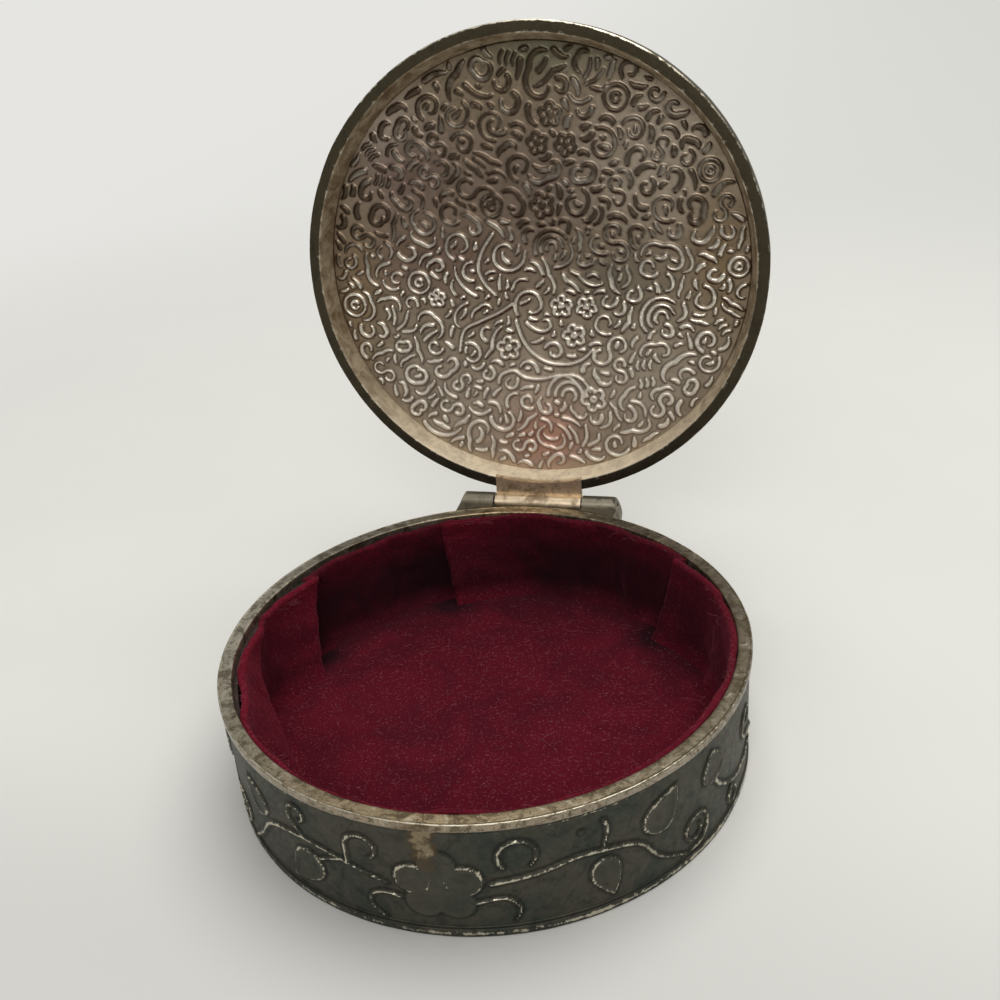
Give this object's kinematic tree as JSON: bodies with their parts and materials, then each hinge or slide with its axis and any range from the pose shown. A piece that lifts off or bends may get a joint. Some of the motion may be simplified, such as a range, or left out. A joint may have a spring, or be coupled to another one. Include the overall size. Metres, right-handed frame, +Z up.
{
  "type": "rosary box",
  "caption": "Low round keepsake box with a raised vine on its wall, a pinned hinged lid faced inside with brocade, and a pleated velvet lining.",
  "frame": {"origin": "centre of the underside of the base, on the table", "axes": "+Z up, +Y towards the hinge, +X to the right seen from the front; the lid stands open on its stop"},
  "size_m": [0.076, 0.0916, 0.0957],
  "materials": {
    "antiqued_silver": "silvered white metal, darkened grey-green in the hollows and worn bright on the raised vine",
    "tarnished_silver": "tarnished silver plate, golden on the sloping sides and dark on the lip",
    "brocade_silver": "tarnished silver plate with a brown bloom and bright raised lines",
    "worn_silver": "worn silver plate, slightly pink",
    "pin_steel": "dull wire",
    "card": "grey-brown pasteboard",
    "wadding": "soft cotton",
    "burgundy_velvet": "short-pile velvet with lint"
  },
  "bodies": {
    "base": {"base_wall": "antiqued_silver", "base_plate": "antiqued_silver", "hinge_lug_left": "antiqued_silver", "hinge_lug_right": "antiqued_silver", "hinge_pin": "pin_steel", "wall_card": "card", "floor_card": "card", "floor_wadding": "wadding", "velvet_wall": "burgundy_velvet", "velvet_floor": "burgundy_velvet"},
    "lid": {"lid_shell": "tarnished_silver", "lid_brocade_sheet": "brocade_silver", "lid_hinge_leaf": "worn_silver"}
  },
  "joints": [
    {"name": "lid_hinge", "type": "hinge", "parent": "base", "child": "lid", "pos_m": [0, 0.0399, 0.0183], "axis": [1, 0, 0], "range_deg": [0, 96]}
  ]
}
